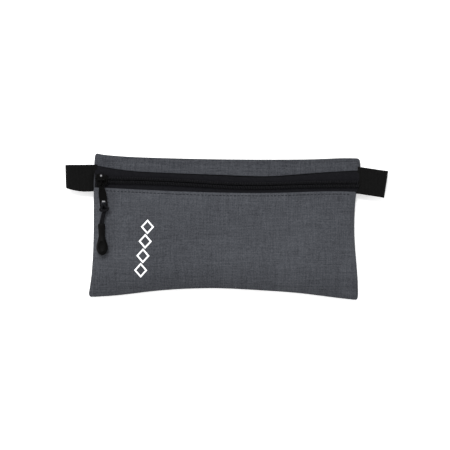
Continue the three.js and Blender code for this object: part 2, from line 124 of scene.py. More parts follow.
# %% [markdown]
# Each finish is a short function. The helpers below add a node, join two sockets, and give a material
# its shader, so that the functions read as a list of what the finish is made of.
# %% Material helpers
class Finish:
    def __init__(self, name, color, roughness):
        self.material = bpy.data.materials.new(name)
        self.material.use_nodes = True
        self.tree = self.material.node_tree
        self.shader = self.tree.nodes["Principled BSDF"]
        self.shader.inputs["Base Color"].default_value = (*color, 1)
        self.shader.inputs["Roughness"].default_value = roughness
        self.coordinates = self.tree.nodes.new("ShaderNodeTexCoord").outputs["Object"]

    def node(self, kind, values=None, **settings):
        made = self.tree.nodes.new(kind)
        for key, value in settings.items():
            setattr(made, key, value)
        for key, value in (values or {}).items():
            if isinstance(value, bpy.types.NodeSocket):
                self.tree.links.new(value, made.inputs[key])
            else:
                made.inputs[key].default_value = value
        return made

    def place(self, scale, turn=0):
        mapping = self.node("ShaderNodeMapping", {"Vector": self.coordinates})
        mapping.inputs["Scale"].default_value = scale
        mapping.inputs["Rotation"].default_value = (0, 0, turn)
        return mapping.outputs[0]

    def noise(self, scale, detail=2):
        settings = {"Vector": self.place(scale), "Scale": 1, "Detail": detail}
        return self.node("ShaderNodeTexNoise", settings).outputs[0]

    def bands(self, pitch, direction, distortion=0):
        settings = {"Vector": self.place((1, 1, 1)), "Scale": 2 * pi / (20 * pitch), "Distortion": distortion}
        return self.node("ShaderNodeTexWave", settings, bands_direction=direction).outputs["Fac"]

    def math(self, operation, a, b):
        return self.node("ShaderNodeMath", {0: a, 1: b}, operation=operation).outputs[0]

    def color(self, factor, dark, light):
        mix = self.node("ShaderNodeMix", {"Factor": factor}, data_type="RGBA")
        mix.inputs[6].default_value = (*dark, 1)
        mix.inputs[7].default_value = (*light, 1)
        self.tree.links.new(mix.outputs[2], self.shader.inputs["Base Color"])

    def bump(self, height, distance, strength=1.0):
        bump = self.node("ShaderNodeBump", {"Height": height, "Distance": distance, "Strength": strength})
        self.tree.links.new(bump.outputs[0], self.shader.inputs["Normal"])


# %% [markdown]
# The cloth is a plain weave in slate grey. Threads of slightly different thickness and dye run both ways
# and give it linen-like streaks. Two long, thin noises make the streaks, and bands that swap direction in
# a fine checker make the over-and-under of the weave.
# %% Cloth finish
THREAD = 0.62 * MM
CLOTH_DARK, CLOTH_LIGHT = (0.017, 0.018, 0.022), (0.072, 0.076, 0.086)


def cloth_finish():
    finish = Finish("slate cloth", CLOTH_LIGHT, 0.92)
    warp = finish.noise((1500, 60, 60), 3)
    weft = finish.noise((60, 1500, 60), 3)
    blotch = finish.noise((22, 22, 22), 3)
    streaks = finish.math("ADD", finish.math("MULTIPLY", warp, 0.5), finish.math("MULTIPLY", weft, 0.5))
    tone = finish.math("ADD", finish.math("MULTIPLY", streaks, 1.5), finish.math("MULTIPLY", blotch, 0.35))
    flecks = finish.math("MULTIPLY", finish.math("SUBTRACT", finish.noise((900, 900, 900), 2), 0.5), 1.1)
    # Painted shade: the colour darkens towards the strip above the zip and towards the bottom edge, where the
    # cloth turns away from the light.
    height = finish.node("ShaderNodeSeparateXYZ", {"Vector": finish.coordinates}).outputs["Y"]
    top_painted_shade = {"Value": height, 1: 42 * MM, 2: 50 * MM, 4: 0.2}
    top = finish.node("ShaderNodeMapRange", top_painted_shade).outputs[0]
    bottom_painted_shade = {"Value": height, 1: -34 * MM, 2: -58 * MM, 4: 0.13}
    bottom = finish.node("ShaderNodeMapRange", bottom_painted_shade).outputs[0]
    painted_shade = finish.math("ADD", finish.math("ADD", top, bottom), 0.42)
    mixed = finish.math("ADD", finish.math("SUBTRACT", tone, painted_shade), flecks)
    finish.color(mixed, CLOTH_DARK, CLOTH_LIGHT)
    squares = {"Vector": finish.place((1, 1, 1)), "Scale": 1 / THREAD}
    checker = finish.node("ShaderNodeTexChecker", squares).outputs["Fac"]
    crossing = {"Factor": checker, 2: finish.bands(THREAD, "X"), 3: finish.bands(THREAD, "Y")}
    weave = finish.node("ShaderNodeMix", crossing)
    raised = finish.math("ADD", weave.outputs[0], finish.math("MULTIPLY", streaks, 1.2))
    finish.bump(raised, 0.12 * MM, 0.8)
    finish.shader.inputs["Specular IOR Level"].default_value = 0.12
    finish.shader.inputs["Sheen Weight"].default_value = 0.04
    finish.shader.inputs["Sheen Roughness"].default_value = 0.5
    return finish.material


cloth = cloth_finish()
print("cloth thread:", THREAD)

# %% [markdown]
# The zip tape is a dense black weave, the webbing a heavier one with ribs across its width, the binding and
# the cord finer ones, and the thread a grey close to the cloth. One function makes all five: two sets of
# bands cross, and a fine grain breaks them up. They stay rough, with almost no shine.
# %% Tape, webbing and thread finishes
def ribbed_finish(name, dark, light, pitch, along, depth, roughness=0.8):
    finish = Finish(name, light, roughness)
    ribs = finish.bands(pitch, along, 0.4)
    across = finish.bands(pitch * 0.8, "Y" if along == "X" else "X", 0.4)
    grain = finish.noise((700, 700, 700), 2)
    height = finish.math("ADD", ribs, finish.math("MULTIPLY", across, 0.5))
    finish.color(finish.math("MULTIPLY", height, grain), dark, light)
    finish.bump(finish.math("ADD", height, grain), depth, 0.9)
    finish.shader.inputs["Specular IOR Level"].default_value = 0.06
    return finish.material


tape_cloth = ribbed_finish(
    "black zip tape", (0.002, 0.002, 0.003), (0.010, 0.010, 0.012), 0.9 * MM, "X", 0.12 * MM)
webbing_cloth = ribbed_finish(
    "black webbing", (0.0015, 0.0015, 0.0015), (0.006, 0.006, 0.006), 1.3 * MM, "X", 0.25 * MM)
binding_cloth = ribbed_finish(
    "black binding", (0.008, 0.008, 0.009), (0.02, 0.02, 0.022), 0.8 * MM, "Y", 0.1 * MM)
cord_cloth = ribbed_finish(
    "black braided cord", (0.002, 0.002, 0.003), (0.01, 0.01, 0.011), 0.7 * MM, "Y", 0.2 * MM)
thread = ribbed_finish(
    "grey thread", (0.006, 0.0065, 0.0075), (0.022, 0.0235, 0.027), 0.25 * MM, "X", 0.04 * MM, 0.7)

# %% [markdown]
# The coil is drawn nylon with a soft shine. The slider and its pull are black enamelled metal: a smooth
# coat over a slightly uneven casting, with a painted highlight in three small pale spots. The grip is moulded
# with a fine sand texture, and the print is a matt white ink.
# %% Nylon, metal, grip and print finishes
def nylon_finish():
    finish = Finish("black nylon", (0.004, 0.004, 0.005), 0.42)
    finish.shader.inputs["Specular IOR Level"].default_value = 0.09
    finish.bump(finish.noise((900, 900, 900), 2), 0.03 * MM, 0.5)
    return finish.material


# Painted highlights: three pale spots, one on the slider's top plate and two just above the tab's window.
PAINTED_HIGHLIGHTS = [(-115.3, 45.4, 12.7), (-112.9, 21.3, 15.9), (-111.7, 21.2, 15.9)]
HIGHLIGHT_REACH, HIGHLIGHT_CORE = 1.2 * MM, 0.5 * MM


def metal_finish():
    finish = Finish("black enamelled metal", (0.004, 0.004, 0.004), 0.36)
    highlight_noise = finish.noise((700, 700, 700), 3)
    highlight = 0
    for spot in PAINTED_HIGHLIGHTS:
        ends = {0: finish.coordinates, 1: Vector(spot) * MM}
        away = finish.node("ShaderNodeVectorMath", ends, operation="DISTANCE").outputs["Value"]
        near = finish.node("ShaderNodeMapRange", {"Value": away, 1: HIGHLIGHT_REACH, 2: HIGHLIGHT_CORE}).outputs[0]
        highlight = near if highlight == 0 else finish.math("MAXIMUM", highlight, near)
    # Near each spot the black is mixed towards pale grey: a painted highlight, broken up by noise.
    painted_highlight = finish.math("MULTIPLY", highlight, finish.math("ADD", highlight_noise, 0.35))
    finish.color(painted_highlight, (0.0015, 0.0015, 0.0015), (0.26, 0.26, 0.27))
    finish.bump(finish.noise((1400, 1400, 1400), 2), 0.03 * MM, 0.4)
    finish.shader.inputs["Specular IOR Level"].default_value = 0.035
    return finish.material


def grip_finish():
    finish = Finish("black moulded grip", (0.018, 0.018, 0.019), 0.55)
    grain = finish.noise((1800, 1800, 1800), 3)
    finish.color(grain, (0.001, 0.001, 0.001), (0.003, 0.003, 0.003))
    finish.shader.inputs["Specular IOR Level"].default_value = 0.04
    finish.bump(grain, 0.08 * MM, 0.6)
    return finish.material


def print_finish():
    finish = Finish("white print", (0.82, 0.82, 0.83), 0.7)
    ink = finish.noise((1600, 1600, 1600), 2)
    finish.color(ink, (0.7, 0.7, 0.72), (0.88, 0.88, 0.89))
    finish.bump(ink, 0.05 * MM, 0.5)
    return finish.material


nylon, metal, grip_plastic, white_print = nylon_finish(), metal_finish(), grip_finish(), print_finish()
print("finishes:", len(bpy.data.materials))

# %% [markdown]
# Soft pieces start from the thin CAD slabs. A slab's upper or lower face, taken alone and turned back into
# quads, is a clean grid to subdivide, and it already lies where the CAD says.
# %% Mesh helpers
def cad_mesh(node):
    bm = bmesh.new()
    bm.from_mesh(frame["nodes"][node].data)
    bmesh.ops.remove_doubles(bm, verts=bm.verts, dist=0.01 * MM)
    bm.normal_update()
    return bm


def slab_face(nodes, side, weld=0.6 * MM):
    joined = bmesh.new()
    for node in nodes:
        bm = cad_mesh(node)
        away = [face for face in bm.faces if face.normal.z * side < 0.05]
        bmesh.ops.delete(bm, geom=away, context="FACES")
        part = bpy.data.meshes.new("part")
        bm.to_mesh(part)
        joined.from_mesh(part)
        bm.free()
    bmesh.ops.remove_doubles(joined, verts=joined.verts, dist=weld)
    bmesh.ops.join_triangles(joined, faces=joined.faces, angle_face_threshold=3, angle_shape_threshold=3)
    return joined


def piece(name, bm, material):
    mesh = bpy.data.meshes.new(name)
    bm.normal_update()
    bm.to_mesh(mesh)
    bm.free()
    mesh.materials.append(material)
    mesh.shade_smooth()
    made = bpy.data.objects.new(name, mesh)
    bpy.context.scene.collection.objects.link(made)
    return made


def applied(obj):
    bm = bmesh.new()
    bm.from_mesh(obj.evaluated_get(bpy.context.evaluated_depsgraph_get()).to_mesh())
    bpy.data.objects.remove(obj)
    return bm


def refine(bm, levels):
    rough = piece("rough", bm, cloth)
    subdivision = rough.modifiers.new("finer", "SUBSURF")
    subdivision.levels = subdivision.render_levels = levels
    return applied(rough)


def thicken(obj, thickness, offset=-1):
    wall = obj.modifiers.new("wall", "SOLIDIFY")
    wall.thickness = thickness
    wall.offset = offset
    wall.use_even_offset = False
    solid = bpy.data.meshes.new_from_object(obj.evaluated_get(bpy.context.evaluated_depsgraph_get()))
    obj.modifiers.clear()
    obj.data = solid
    solid.set_sharp_from_angle(angle=radians(50))


def boundary(bm, chosen):
    return [edge for edge in bm.edges if edge.is_boundary and chosen(edge)]


# %% [markdown]
# Along the seams the front and back cloth meet edge to edge. A falloff from the nearest outline point
# draws both faces together there, and the four sharp corners are drawn in a little. The zip line hangs
# slack in the middle of the bag, and everything sewn to it follows one curve.
# %% Seams and slack
CLOTH = 0.8 * MM
SEAM_PULL = 0.8 * MM
SLACK = 3.2 * MM
CORNERS = [Vector(corner) * MM for corner in ((-126.3, -68.2), (126.4, -67.2), (-122.4, 67), (126.4, 65.8))]


def slack(x):
    return -SLACK * exp(-(((x - 18 * MM) / (58 * MM)) ** 2))


def draw_to_seam(bm, outline, amount, reach=7 * MM):
    tree = KDTree(len(outline))
    for number, point in enumerate(outline):
        tree.insert((point.x, point.y, 0), number)
    tree.balance()
    for vert in bm.verts:
        distance = tree.find((vert.co.x, vert.co.y, 0))[2]
        vert.co.z += amount * max(0, 1 - distance / reach) ** 2


def soften_corners(bm, amount=1.0 * MM, reach=6 * MM):
    """Draws the bag's four sharp corners in a little towards its middle."""
    for corner in CORNERS:
        inward = -corner.normalized()
        for vert in bm.verts:
            distance = (Vector((vert.co.x, vert.co.y)) - corner).length
            vert.co.xy += inward * amount * max(0, 1 - distance / reach) ** 2


def runs_along_x(edge):
    step = edge.verts[1].co - edge.verts[0].co
    return abs(step.x) > abs(step.y)


# %% [markdown]
# Cloth simulation gives the front panel its soft fullness. The sewn edges are pinned, a little pressure
# stands for what the bag holds, and the cloth is cut slightly larger than its frame, so that it puckers
# where it meets the seams. How far a point may move is capped, and the result becomes the mesh.
# %% Settle a panel
SETTLE_STEPS = 20


def settle(bm, name, pressure, grow, cap):
    obj = piece(name, bm, cloth)
    rest = [vert.co.copy() for vert in obj.data.vertices]
    edges = bmesh.new()
    edges.from_mesh(obj.data)
    sewn = [vert.index for vert in edges.verts if vert.is_boundary]
    edges.free()
    obj.vertex_groups.new(name="sewn").add(sewn, 1.0, "REPLACE")
    fabric = obj.modifiers.new("settle", "CLOTH")
    fabric.settings.vertex_group_mass = "sewn"
    fabric.settings.quality = 7
    fabric.settings.mass = 0.2
    fabric.settings.tension_stiffness = 20
    fabric.settings.compression_stiffness = 20
    fabric.settings.bending_stiffness = 0.4
    fabric.settings.use_pressure = True
    fabric.settings.uniform_pressure_force = pressure
    fabric.settings.shrink_min = -grow
    fabric.settings.effector_weights.gravity = 0
    fabric.collision_settings.use_collision = False
    for step in range(1, SETTLE_STEPS + 1):
        bpy.context.scene.frame_set(step)
    settled = applied(obj)
    bpy.context.scene.frame_set(1)
    for vert, start in zip(settled.verts, rest):
        moved = vert.co - start
        if moved.length > cap:
            vert.co = start + moved.normalized() * cap
    print(name, "settled, highest point", round(max(vert.co.z for vert in settled.verts) * 1000, 1), "mm")
    return settled


# %% [markdown]
# The front panel is a full rectangle of cloth whose top edge is folded under along the zip. The fold is
# made by extruding that edge down and back, which leaves a rounded lip. The cloth swells a little under the
# pull, and its height is eased off there, because the pull needs room to swing over it.
# %% Front panel
def turn_under(bm, edges, steps):
    for dy, dz in steps:
        made = bmesh.ops.extrude_edge_only(bm, edges=edges)["geom"]
        verts = [part for part in made if isinstance(part, bmesh.types.BMVert)]
        bmesh.ops.translate(bm, verts=verts, vec=(0, dy * MM, dz * MM))
        edges = [part for part in made if isinstance(part, bmesh.types.BMEdge)]


UNDER_PULL = 2.1 * MM
ZIP_SIDE = 25 * MM
FOLD_SLACK = 0.12
FOLD_UNDER = [(0.35, -0.15), (0.2, -0.35), (-0.25, -0.3), (-1.2, -0.15), (-2.2, -0.5)]


def pressed(height, start=11 * MM, room=1.3 * MM):
    """Eases any height above the start into the room that the pull leaves over the cloth."""
    return height if height < start else start + room * (1 - exp((start - height) / room))


def beside_zip(edge):
    return runs_along_x(edge) and edge.verts[0].co.y > ZIP_SIDE


def front_panel():
    bm = refine(slab_face(["front_panel"], 1), 2)
    lowest = [vert.co.z - 0.1 * MM for vert in bm.verts]
    sewn = boundary(bm, lambda edge: not beside_zip(edge))
    outline = [vert.co.copy() for edge in sewn for vert in edge.verts]
    bm = settle(bm, "front_cloth", 1.2, 0.015, 3 * MM)
    for vert, low in zip(bm.verts, lowest):
        wave = noise.noise(vert.co * 26) * 0.5 + noise.noise(vert.co * 70) * 0.18
        vert.co.z = max(vert.co.z + wave * MM, low)
    draw_to_seam(bm, outline, -SEAM_PULL)
    soften_corners(bm)
    for vert in bm.verts:
        across, along_y = (vert.co.x + 112 * MM) / (7 * MM), (vert.co.y + 6 * MM) / (26 * MM)
        vert.co.z = pressed(vert.co.z + UNDER_PULL * exp(-(across**2) - along_y**2))
        vert.co.y += slack(vert.co.x) * FOLD_SLACK * max(0, 1 - (35 * MM - vert.co.y) / (30 * MM))
    turn_under(bm, boundary(bm, beside_zip), FOLD_UNDER)
    made = piece("front_cloth", bm, cloth)
    thicken(made, CLOTH)
    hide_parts("front_panel")
    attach(made, "bag")
    return made


front = front_panel()

# %% [markdown]
# The back panel is the same cloth, flat where the bag rests on the table and turned up towards the seams.
# Its lower face is the outer one, so its wall grows upwards.
# %% Back panel
def back_panel():
    bm = refine(slab_face(["back_panel"], -1), 2)
    outline = [vert.co.copy() for edge in boundary(bm, lambda e: True) for vert in edge.verts]
    draw_to_seam(bm, outline, SEAM_PULL)
    soften_corners(bm)
    for vert in bm.verts:
        lift = min(vert.co.z / (3 * MM), 1)
        vert.co.z += lift * (0.25 + noise.noise(vert.co * 40) * 0.5) * MM
    made = piece("back_cloth", bm, cloth)
    thicken(made, CLOTH)
    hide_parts("back_panel")
    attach(made, "bag")


back_panel()

# %% [markdown]
# The strip above the zip is one length of cloth from seam to seam, made in two halves cut at the middle.
# Points already at the middle are taken as lying on the cut, so that it leaves no slivers.
# %% Top strip
ROLL_OVER = [(0.9, -0.08), (0.8, -0.25), (0.4, -0.4), (0.15, -0.5)]
STRIP_NODES = ["top_strip_left_end", "top_strip", "top_strip_right_end"]
STRIP_MIDDLE = 57 * MM
RIDGE_X, RIDGE_WIDTH, RIDGE_HEIGHT = 121.5 * MM, 0.9 * MM, 0.5 * MM
CUT_REACH = 0.05 * MM


def half_of(bm, side):
    geometry = bm.verts[:] + bm.edges[:] + bm.faces[:]
    bmesh.ops.bisect_plane(
        bm, geom=geometry, dist=CUT_REACH, plane_co=(0, 0, 0), plane_no=(side, 0, 0), clear_inner=True)


def open_with_mouth(obj):
    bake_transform(obj)


def strip_half(name, side, stands_for):
    bm = refine(slab_face(STRIP_NODES, 1), 2)
    half_of(bm, side)
    ends = boundary(bm, lambda e: not runs_along_x(e) and abs(e.verts[0].co.x) > 100 * MM)
    draw_to_seam(bm, [vert.co.copy() for edge in ends for vert in edge.verts], -SEAM_PULL)
    soften_corners(bm)
    for vert in bm.verts:
        spot = vert.co.copy()
        vert.co.z += (noise.noise(spot * 30) * 0.5 + noise.noise(spot * 90) * 0.22) * MM
        ridge = exp(-(((spot.x - RIDGE_X) / RIDGE_WIDTH) ** 2))
        vert.co.z += RIDGE_HEIGHT * ridge
    turn_under(bm, boundary(bm, lambda e: runs_along_x(e) and e.verts[0].co.y > STRIP_MIDDLE), ROLL_OVER)
    under = [(-dy, dz) for dy, dz in FOLD_UNDER]
    turn_under(bm, boundary(bm, lambda e: runs_along_x(e) and e.verts[0].co.y < STRIP_MIDDLE), under)
    made = piece(name, bm, cloth)
    thicken(made, CLOTH)
    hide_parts(*stands_for)
    open_with_mouth(made)


strip_half("strip_left", -1, ["top_strip", "top_strip_left_end"])
strip_half("strip_right", 1, ["top_strip", "top_strip_right_end"])

# %% [markdown]
# Along the top the back cloth rolls over into a narrow hem that carries the strip. Its section is rounded
# by subdividing the CAD hem, whose hard corners give way to a soft roll.
# %% Top fold
def top_fold():
    bm = cad_mesh("top_fold")
    bmesh.ops.join_triangles(bm, faces=bm.faces, angle_face_threshold=0.5, angle_shape_threshold=3)
    bm = refine(bm, 2)
    for vert in bm.verts:
        vert.co.y += (62 * MM - vert.co.y) * -0.1
        vert.co.z += (noise.noise(vert.co * 40) * 0.3 - 0.2) * MM
    soften_corners(bm)
    made = piece("top_hem", bm, cloth)
    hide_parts("top_fold")
    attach(made, "bag")


top_fold()

# %% [markdown]
# A coil zip has a woven tape on each side, with the coil sewn along its inner edge. The tape is flat and
# its inner edge runs along the coil. The upper tape is in halves, like the strip. The right end is
# tucked into the side seam.
# %% Zip tapes
SLIDER = Vector(joints["link_lift"]["pos_m"])
ZIP_Y = joints["link_lift"]["pos_m"][1]
TAPE_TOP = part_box("lower_zipper_tape")[1][2]
TAPE_EDGE = 1.3 * MM
TAPE_TUCK = 3.6 * MM
TAPE_THICKNESS = 0.6 * MM


def zip_tape(name, nodes, side, half=0):
    bm = refine(slab_face(nodes, 1), 2)
    if half:
        half_of(bm, half)
    near = abs(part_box(nodes[0])[0][1] - ZIP_Y) if side > 0 else abs(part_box(nodes[0])[1][1] - ZIP_Y)
    for vert in bm.verts:
        offset = abs(vert.co.y - ZIP_Y)
        vert.co.y -= side * (near - TAPE_EDGE) * max(0, 1 - (offset - near) / (6 * MM))
        vert.co.y += slack(vert.co.x)
        reach = min(max(vert.co.y / MM - 30, 0) / 10, 1)
        vert.co.x += TAPE_TUCK * reach * min(max(vert.co.x / MM - 112, 0) / 9.4, 1)
        vert.co.z += 0.12 * MM * noise.noise(vert.co * 60)
    made = piece(name, bm, tape_cloth)
    thicken(made, TAPE_THICKNESS)
    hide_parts(*nodes)
    if half:
        open_with_mouth(made)
    else:
        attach(made, "bag")


zip_tape("tape_lower", ["lower_zipper_tape"], -1)
zip_tape("tape_upper_left", ["upper_zipper_tape", "upper_tape_left_end"], 1, -1)
zip_tape("tape_upper_right", ["upper_zipper_tape", "upper_tape_right_end"], 1, 1)
print("zip line at", round(ZIP_Y * 1000, 1), "mm; tape top at", round(TAPE_TOP * 1000, 2), "mm")

# %% [markdown]
# The coil is one nylon thread wound in turns. Each turn shows as a rounded, slightly slanting bar whose
# head hooks between the heads of the other side. One bevelled bar is made and copied along the zip, and
# left of the slider, which hasn't closed them, the two rows stand apart. The upper row is in halves that share
# the middle, so that no turn is missing there.
# %% Coils
PITCH = 1.55 * MM
COIL_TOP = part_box("lower_zipper_coil")[1][2]
COIL_START, COIL_END = -78 * PITCH, 80 * PITCH
BAR_DEPTH, BAR_LENGTH, BAR_WIDTH = 2.5 * MM, 3.3 * MM, 1.0 * MM


def coil_offset(x):
    t = min(max((SLIDER.x + 2 * MM - x) / (4.5 * MM), 0), 1)
    return (1.75 + 1.45 * t * t * (3 - 2 * t)) * MM


def coil_bar():
    bm = bmesh.new()
    bmesh.ops.create_cube(bm, size=1)
    bmesh.ops.scale(bm, verts=bm.verts, vec=(BAR_WIDTH, BAR_LENGTH, BAR_DEPTH))
    bmesh.ops.bevel(bm, geom=bm.edges, offset=0.38 * MM, affect="EDGES", segments=1, profile=0.5, material=-1)
    head = [vert for vert in bm.verts if vert.co.y < -0.6 * MM]
    bmesh.ops.scale(bm, verts=head, vec=(1.12, 1, 1.08))
    bmesh.ops.rotate(bm, verts=bm.verts, matrix=Matrix.Rotation(radians(9), 3, "Z"))
    mesh = bpy.data.meshes.new("coil bar")
    bm.to_mesh(mesh)
    bm.free()
    return mesh


def coil(name, side, start, end, nodes, half=0):
    bar = coil_bar()
    bm = bmesh.new()
    shift = 0 if side > 0 else PITCH / 2
    count = round((end - start) / PITCH)
    for number in range(count):
        x = start + shift + (number + 0.5) * PITCH
        old = set(bm.verts)
        bm.from_mesh(bar)
        new = [vert for vert in bm.verts if vert not in old]
        turn = Matrix.Scale(side, 4, (0, 1, 0))
        place = Matrix.Translation((x, ZIP_Y + side * coil_offset(x) + slack(x), COIL_TOP - BAR_DEPTH / 2))
        bmesh.ops.transform(bm, matrix=place @ turn, verts=new)
    bmesh.ops.recalc_face_normals(bm, faces=bm.faces)
    made = piece(name, bm, nylon)
    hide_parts(*nodes)
    if half:
        open_with_mouth(made)
    else:
        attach(made, "bag")
    print(name, count, "bars")


coil("coil_lower", -1, COIL_START, COIL_END, ["lower_zipper_coil"])
coil("coil_upper_left", 1, COIL_START, 0, ["upper_zipper_coil", "upper_coil_left_end"], -1)
coil("coil_upper_right", 1, 0, COIL_END, ["upper_zipper_coil", "upper_coil_right_end"], 1)

# %% [markdown]
# A row of lockstitches holds the panel's fold to the tape and runs just below it. Every stitch is a short
# rounded thread. The cloth is found under each stitch by a ray from above, and the stitch lies on it.
# %% Topstitching
STITCH_PITCH, STITCH_RADIUS = 3.4 * MM, 0.36 * MM
STITCH_SHARE = 0.64
STITCH_END = 118 * MM
STITCH_DROP = 2.1 * MM
CAST_HEIGHT, DOWN = 0.1, Vector((0, 0, -1))


def surface_of(obj):
    graph = bpy.context.evaluated_depsgraph_get()
    return BVHTree.FromObject(obj, graph)


def stitch_mesh(length, radius):
    bm = bmesh.new()
    bmesh.ops.create_uvsphere(bm, u_segments=6, v_segments=4, radius=radius)
    bmesh.ops.rotate(bm, verts=bm.verts, matrix=Matrix.Rotation(pi / 2, 3, "Y"))
    ends = [vert for vert in bm.verts if vert.co.x > 0.1 * radius]
    bmesh.ops.translate(bm, verts=ends, vec=(length / 2 - radius, 0, 0))
    other = [vert for vert in bm.verts if vert.co.x < -0.1 * radius]
    bmesh.ops.translate(bm, verts=other, vec=(radius - length / 2, 0, 0))
    mesh = bpy.data.meshes.new("stitch")
    bm.to_mesh(mesh)
    bm.free()
    return mesh


def stitch_row(bm, stitch, surface, points):
    laid = 0
    for here, after in zip(points, points[1:]):
        middle = (here + after) / 2
        spot, normal = surface.ray_cast(Vector((middle.x, middle.y, CAST_HEIGHT)), DOWN)[:2]
        if spot is None:
            continue
        old = set(bm.verts)
        bm.from_mesh(stitch)
        new = [vert for vert in bm.verts if vert not in old]
        ahead = (after - here).normalized()
        side = normal.cross(ahead).normalized()
        turned = Matrix((side.cross(normal), side, normal)).transposed().to_4x4()
        place = Matrix.Translation(spot + normal * 0.05 * MM)
        bmesh.ops.transform(bm, matrix=place @ turned, verts=new)
        laid += 1
    return laid


def fold_line():
    """The fold's line as points along X, read from the edge of the panel's CAD slab."""
    face = slab_face(["front_panel"], 1)
    chosen = boundary(face, beside_zip)
    points = {round(vert.co.x, 5): vert.co.copy() for edge in chosen for vert in edge.verts}
    face.free()
    return [points[x] for x in sorted(points)]


def along(points, x):
    for before, after in zip(points, points[1:]):
        if before.x <= x <= after.x:
            return before.lerp(after, (x - before.x) / (after.x - before.x))
    return points[0] if x < points[0].x else points[-1]


def panel_topstitch():
    line = fold_line()
    stitch = stitch_mesh(STITCH_PITCH * STITCH_SHARE, STITCH_RADIUS)
    bm = bmesh.new()
    count = int(2 * STITCH_END / STITCH_PITCH)
    places = [-STITCH_END + number * STITCH_PITCH for number in range(count + 1)]
    points = [along(line, x) + Vector((0, slack(x) * FOLD_SLACK - STITCH_DROP, 0)) for x in places]
    laid = stitch_row(bm, stitch, surface_of(front), points)
    made = piece("panel_topstitch", bm, thread)
    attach(made, "bag")
    print("topstitches:", laid)


panel_topstitch()

# %% [markdown]
# The slider, its crown, and the pull tab are cast metal. Their CAD shapes are right but have knife edges,
# so each is copied, its flat faces are merged, and its edges get a small bevel that catches the light.
# %% Cast metal pieces
def cast_piece(name, node, bevel, body):
    bm = cad_mesh(node)
    bmesh.ops.dissolve_limit(bm, angle_limit=radians(2), verts=bm.verts, edges=bm.edges)
    made = piece(name, bm, metal)
    rounding = made.modifiers.new("rounding", "BEVEL")
    rounding.width = bevel
    rounding.segments = 3
    rounding.limit_method = "ANGLE"
    rounding.angle_limit = radians(25)
    made.data.set_sharp_from_angle(angle=radians(40))
    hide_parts(node)
    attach(made, body)


cast_piece("slider_shell", "slider_body", 0.3 * MM, "slider")
cast_piece("slider_arch", "slider_crown", 0.3 * MM, "slider")
cast_piece("tab_plate", "pull_tab", 0.22 * MM, "tab")

# %% [markdown]
# The link is a short loop of round wire. A small circle is spun into a ring, and half of the ring is then
# moved away, which stretches it into an oval.
# %% Wire link
def wire_link():
    low, high = (Vector(corner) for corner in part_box("pull_link"))
    wire = (high.x - low.x) / 2
    radius = (high.z - low.z) / 2 - wire
    stretch = (high.y - low.y) - (high.z - low.z)
    bm = bmesh.new()
    place = Matrix.Translation((0, radius, 0)) @ Matrix.Rotation(pi / 2, 4, "Y")
    bmesh.ops.create_circle(bm, segments=12, radius=wire, matrix=place)
    bmesh.ops.rotate(bm, verts=bm.verts, cent=(0, radius, 0), matrix=Matrix.Rotation(pi / 2, 3, "Y"))
    bmesh.ops.spin(bm, geom=bm.verts[:] + bm.edges[:], axis=(1, 0, 0), angle=2 * pi, steps=40, use_merge=True)
    bmesh.ops.remove_doubles(bm, verts=bm.verts, dist=0.01 * MM)
    far = [vert for vert in bm.verts if vert.co.y < 0]
    bmesh.ops.translate(bm, verts=far, vec=(0, -stretch, 0))
    middle = ((low.x + high.x) / 2, high.y - radius - wire, (low.z + high.z) / 2)
    bmesh.ops.translate(bm, verts=bm.verts, vec=middle)
    bmesh.ops.recalc_face_normals(bm, faces=bm.faces)
    made = piece("wire_link", bm, metal)
    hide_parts("pull_link")
    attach(made, "link")
    print("wire link:", round(wire * 2000, 2), "mm wire")


wire_link()

# %% [markdown]
# The cord is hitched round the tab's lower bar: up behind it, out through the window, over the front, and
# down between its own two strands. Both ends go into the grip. The route repeats the model's points, in
# the tab's own frame, which leans eight degrees.
# %% Pull cord
HITCH_SIDE = [
    (-3.95, -18.4, 0.2), (-3.5, -15.2, 0.2), (-0.7, -7.4, 0.1), (0.9, -4.2, -0.1), (1, -2, -0.9),
    (1.1, -0.4, -1.85), (1.3, 0.7, -1.85), (1.3, 1.95, -0.2), (1.35, 1.4, 1.45), (1.6, -0.1, 2.1),
    (3, -1.4, 2.1), (3.7, -2.8, 2), (2.2, -3.9, 2), (0, -4.1, 2.1),
]
TAB_BAR = Matrix.Translation(joints["cord_swing"]["pos_m"]) @ Matrix.Rotation(radians(8), 4, "Z")
CORD = 2.1 * MM


def beside(x, y):
    if y < -7:
        return x - 1.75
    return -x * 0.25 + (x - 1.75) * 0.75 if y < -4.15 else -x


def cord_route():
    back = [(beside(x, y), y, z) for x, y, z in reversed(HITCH_SIDE[:-1])]
    return [TAB_BAR @ (Vector(point) * MM) for point in HITCH_SIDE + back]


def smooth_path(points, steps=6):
    """Points on a centripetal Catmull-Rom curve through the given ones."""
    ends = [points[0] * 2 - points[1], *points, points[-1] * 2 - points[-2]]
    path = []
    for a, b, c, d in zip(ends, ends[1:], ends[2:], ends[3:]):
        k1, k2, k3 = (sqrt((q - p).length) for p, q in ((a, b), (b, c), (c, d)))
        m1 = (b - a) / k1 - (c - a) / (k1 + k2) + (c - b) / k2
        m2 = (c - b) / k2 - (d - b) / (k2 + k3) + (d - c) / k3
        for number in range(steps):
            t = number / steps
            h = (1 + 2 * t) * (1 - t) ** 2, t * (1 - t) ** 2, t * t * (3 - 2 * t), t * t * (t - 1)
            path.append(b * h[0] + m1 * k2 * h[1] + c * h[2] + m2 * k2 * h[3])
    return path + [points[-1]]


